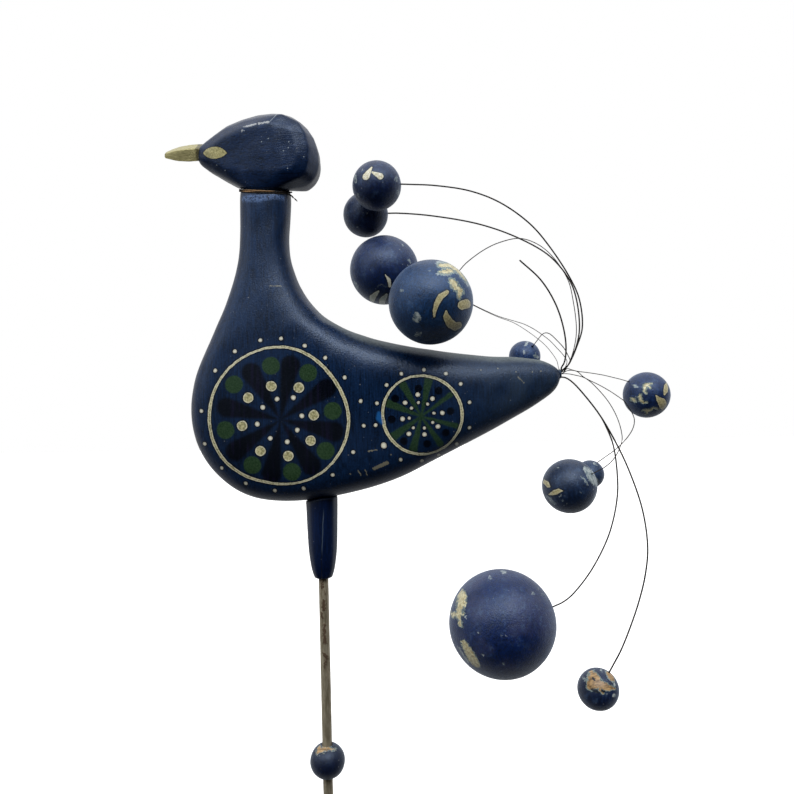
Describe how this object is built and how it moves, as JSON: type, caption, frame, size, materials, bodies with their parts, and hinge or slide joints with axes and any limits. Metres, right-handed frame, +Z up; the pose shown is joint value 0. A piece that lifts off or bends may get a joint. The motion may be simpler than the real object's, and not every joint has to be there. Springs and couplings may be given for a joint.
{
  "type": "garden stake",
  "caption": "Carved wooden bird garden stake, painted dark blue, on a thin steel rod, with painted wooden balls on springy wires for a tail.",
  "frame": {"origin": "middle of the rod's flat lower end, where the stake meets the ground", "axes": "+Z up along the rod, the bird faces -X, its painted side faces -Y"},
  "size_m": [0.2522, 0.0646, 0.4324],
  "materials": {
    "painted_wood": "satin dark blue paint, worn",
    "painted_ball": "satin blue paint with gold marks, chipped",
    "gold_beak": "satin pale gold paint",
    "neck_cord": "thin brown cord",
    "steel_rod": "dull, spotted with rust",
    "tail_wire": "dark spring wire"
  },
  "bodies": {
    "root": {"body": "painted_wood", "head": "painted_wood", "leg": "painted_wood", "rod_bead": "painted_ball", "ball_a": "painted_ball", "ball_b": "painted_ball", "ball_c": "painted_ball", "ball_d": "painted_ball", "ball_e": "painted_ball", "ball_f": "painted_ball", "ball_g": "painted_ball", "ball_h": "painted_ball", "ball_i": "painted_ball", "ball_j": "painted_ball", "beak": "gold_beak", "neck_binding": "neck_cord", "rod": "steel_rod", "wire_a": "tail_wire", "wire_b": "tail_wire", "wire_c": "tail_wire", "wire_d": "tail_wire", "wire_e": "tail_wire", "wire_f": "tail_wire", "wire_g": "tail_wire", "wire_h": "tail_wire", "wire_i": "tail_wire", "wire_j": "tail_wire", "wire_bare": "tail_wire", "wire_fine": "tail_wire"}
  },
  "joints": []
}
